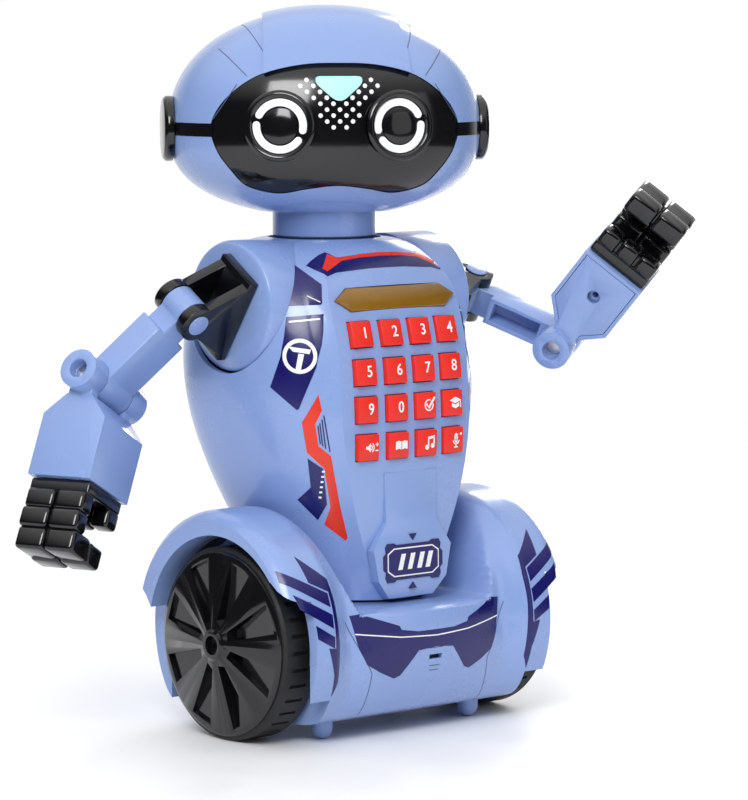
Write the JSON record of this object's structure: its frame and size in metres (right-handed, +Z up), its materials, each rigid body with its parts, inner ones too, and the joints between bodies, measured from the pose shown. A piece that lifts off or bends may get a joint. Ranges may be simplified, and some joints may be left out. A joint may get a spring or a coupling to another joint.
{
  "type": "educational coding robot",
  "caption": "Two-wheeled toy robot with a rounded base, keypad torso, jointed arms with gripping hands and a turning head with round eyes.",
  "frame": {"origin": "on the floor under the middle of the robot's bounding box, in its stored pose", "axes": "+Z up, -Y the way the chest faces, +X the robot's own left; the wheel axle runs along X"},
  "size_m": [0.2617, 0.1439, 0.2743],
  "materials": {
    "lavender_plastic": "glossy moulded ABS",
    "gloss_black": "high gloss",
    "black_plastic": "satin",
    "tyre_rubber": "matt rubber",
    "key_red": "soft satin",
    "amber_window": "translucent tint",
    "screw_steel": "satin",
    "motor_metal": "satin",
    "circuit_board": "solder mask",
    "cell_wrap": "printed wrap",
    "eye_white": "diffuser",
    "light_blue": "translucent lens"
  },
  "bodies": {
    "chassis": {"base_shell": "lavender_plastic", "bottom_tray": "lavender_plastic", "battery_door": "lavender_plastic", "battery_cells": "cell_wrap", "left_gearbox": "motor_metal", "right_gearbox": "motor_metal", "torso_front": "lavender_plastic", "torso_rear": "lavender_plastic", "left_cup": "lavender_plastic", "right_cup": "lavender_plastic", "neck_post": "lavender_plastic", "display_window": "amber_window", "main_board": "circuit_board", "housing_screws": "screw_steel"},
    "left_wheel": {"left_tyre": "tyre_rubber", "left_wheel_disc": "gloss_black"},
    "right_wheel": {"right_tyre": "tyre_rubber", "right_wheel_disc": "gloss_black"},
    "head": {"head_top": "lavender_plastic", "head_bottom": "lavender_plastic", "face_mask": "gloss_black", "left_bezel": "gloss_black", "right_bezel": "gloss_black", "left_eye_light": "eye_white", "right_eye_light": "eye_white", "forehead_light": "light_blue", "left_ear": "gloss_black", "right_ear": "gloss_black"},
    "key_1": {"key_1": "key_red"},
    "key_2": {"key_2": "key_red"},
    "key_3": {"key_3": "key_red"},
    "key_4": {"key_4": "key_red"},
    "key_5": {"key_5": "key_red"},
    "key_6": {"key_6": "key_red"},
    "key_7": {"key_7": "key_red"},
    "key_8": {"key_8": "key_red"},
    "key_9": {"key_9": "key_red"},
    "key_0": {"key_0": "key_red"},
    "key_check": {"key_check": "key_red"},
    "key_learn": {"key_learn": "key_red"},
    "key_sound": {"key_sound": "key_red"},
    "key_story": {"key_story": "key_red"},
    "key_music": {"key_music": "key_red"},
    "key_voice": {"key_voice": "key_red"},
    "switch_knob": {"power_switch": "black_plastic"},
    "left_shoulder": {"left_bracket": "gloss_black", "left_shoulder_pin": "lavender_plastic"},
    "left_arm": {"left_upper_arm": "lavender_plastic"},
    "left_forearm": {"left_forearm": "lavender_plastic", "left_forearm_cover": "lavender_plastic", "left_elbow_pin": "screw_steel"},
    "left_hand": {"left_hand": "gloss_black"},
    "right_shoulder": {"right_bracket": "gloss_black", "right_shoulder_pin": "lavender_plastic"},
    "right_arm": {"right_upper_arm": "lavender_plastic"},
    "right_forearm": {"right_forearm": "lavender_plastic", "right_forearm_cover": "lavender_plastic", "right_elbow_pin": "screw_steel"},
    "right_hand": {"right_hand": "gloss_black"}
  },
  "joints": [
    {"name": "left_wheel_spin", "type": "hinge", "parent": "chassis", "child": "left_wheel", "pos_m": [0.0674, 0.0002, 0.0365], "axis": [1, 0, 0], "continuous": true},
    {"name": "right_wheel_spin", "type": "hinge", "parent": "chassis", "child": "right_wheel", "pos_m": [-0.0506, 0.0002, 0.0365], "axis": [1, 0, 0], "continuous": true},
    {"name": "head_turn", "type": "hinge", "parent": "chassis", "child": "head", "pos_m": [0.0084, 0.0199, 0.1903], "axis": [0, 0, 1], "range_deg": [-57, 123]},
    {"name": "key_1_press", "type": "slide", "parent": "chassis", "child": "key_1", "axis": [0, 0.9659, -0.2588], "range_m": [0, 0.001], "stiffness_N_per_m": 400},
    {"name": "key_2_press", "type": "slide", "parent": "chassis", "child": "key_2", "axis": [0, 0.9659, -0.2588], "range_m": [0, 0.001], "stiffness_N_per_m": 400},
    {"name": "key_3_press", "type": "slide", "parent": "chassis", "child": "key_3", "axis": [0, 0.9659, -0.2588], "range_m": [0, 0.001], "stiffness_N_per_m": 400},
    {"name": "key_4_press", "type": "slide", "parent": "chassis", "child": "key_4", "axis": [0, 0.9659, -0.2588], "range_m": [0, 0.001], "stiffness_N_per_m": 400},
    {"name": "key_5_press", "type": "slide", "parent": "chassis", "child": "key_5", "axis": [0, 0.9925, -0.1219], "range_m": [0, 0.001], "stiffness_N_per_m": 400},
    {"name": "key_6_press", "type": "slide", "parent": "chassis", "child": "key_6", "axis": [0, 0.9925, -0.1219], "range_m": [0, 0.001], "stiffness_N_per_m": 400},
    {"name": "key_7_press", "type": "slide", "parent": "chassis", "child": "key_7", "axis": [0, 0.9925, -0.1219], "range_m": [0, 0.001], "stiffness_N_per_m": 400},
    {"name": "key_8_press", "type": "slide", "parent": "chassis", "child": "key_8", "axis": [0, 0.9925, -0.1219], "range_m": [0, 0.001], "stiffness_N_per_m": 400},
    {"name": "key_9_press", "type": "slide", "parent": "chassis", "child": "key_9", "axis": [0, 0.9994, -0.0349], "range_m": [0, 0.001], "stiffness_N_per_m": 400},
    {"name": "key_0_press", "type": "slide", "parent": "chassis", "child": "key_0", "axis": [0, 0.9994, -0.0349], "range_m": [0, 0.001], "stiffness_N_per_m": 400},
    {"name": "key_check_press", "type": "slide", "parent": "chassis", "child": "key_check", "axis": [0, 0.9994, -0.0349], "range_m": [0, 0.001], "stiffness_N_per_m": 400},
    {"name": "key_learn_press", "type": "slide", "parent": "chassis", "child": "key_learn", "axis": [0, 0.9994, -0.0349], "range_m": [0, 0.001], "stiffness_N_per_m": 400},
    {"name": "key_sound_press", "type": "slide", "parent": "chassis", "child": "key_sound", "axis": [0, 0.9994, 0.0349], "range_m": [0, 0.001], "stiffness_N_per_m": 400},
    {"name": "key_story_press", "type": "slide", "parent": "chassis", "child": "key_story", "axis": [0, 0.9994, 0.0349], "range_m": [0, 0.001], "stiffness_N_per_m": 400},
    {"name": "key_music_press", "type": "slide", "parent": "chassis", "child": "key_music", "axis": [0, 0.9994, 0.0349], "range_m": [0, 0.001], "stiffness_N_per_m": 400},
    {"name": "key_voice_press", "type": "slide", "parent": "chassis", "child": "key_voice", "axis": [0, 0.9994, 0.0349], "range_m": [0, 0.001], "stiffness_N_per_m": 400},
    {"name": "power_switch_slide", "type": "slide", "parent": "chassis", "child": "switch_knob", "axis": [0, 1, 0], "range_m": [0, 0.0038]},
    {"name": "left_shoulder_swing", "type": "hinge", "parent": "chassis", "child": "left_shoulder", "pos_m": [0.059, 0.0162, 0.1613], "axis": [1, 0, 0], "range_deg": [-90, 120]},
    {"name": "left_arm_raise", "type": "hinge", "parent": "left_shoulder", "child": "left_arm", "pos_m": [0.0803, 0.0162, 0.1613], "axis": [0, 0.4648, -0.8854], "range_deg": [-75, 30]},
    {"name": "left_elbow_bend", "type": "hinge", "parent": "left_arm", "child": "left_forearm", "pos_m": [0.10311, -0.01513, 0.14485], "axis": [0.8406, 0.4796, 0.2518], "range_deg": [-15, 164]},
    {"name": "left_wrist_turn", "type": "hinge", "parent": "left_forearm", "child": "left_hand", "pos_m": [0.10911, -0.04158, 0.17519], "axis": [0.1475, -0.6499, 0.7456], "range_deg": [-90, 90]},
    {"name": "right_shoulder_swing", "type": "hinge", "parent": "chassis", "child": "right_shoulder", "pos_m": [-0.0422, 0.0162, 0.1613], "axis": [-1, 0, 0], "range_deg": [-90, 120]},
    {"name": "right_arm_raise", "type": "hinge", "parent": "right_shoulder", "child": "right_arm", "pos_m": [-0.0635, 0.0162, 0.1613], "axis": [0, -0.829, -0.5592], "range_deg": [-75, 22]},
    {"name": "right_elbow_bend", "type": "hinge", "parent": "right_arm", "child": "right_forearm", "pos_m": [-0.08631, 0.03599, 0.13196], "axis": [-0.8406, -0.3029, 0.4491], "range_deg": [-128, 51]},
    {"name": "right_wrist_turn", "type": "hinge", "parent": "right_forearm", "child": "right_hand", "pos_m": [-0.10356, 0.02996, 0.0956], "axis": [-0.4239, -0.1482, -0.8935], "range_deg": [-90, 90]}
  ]
}
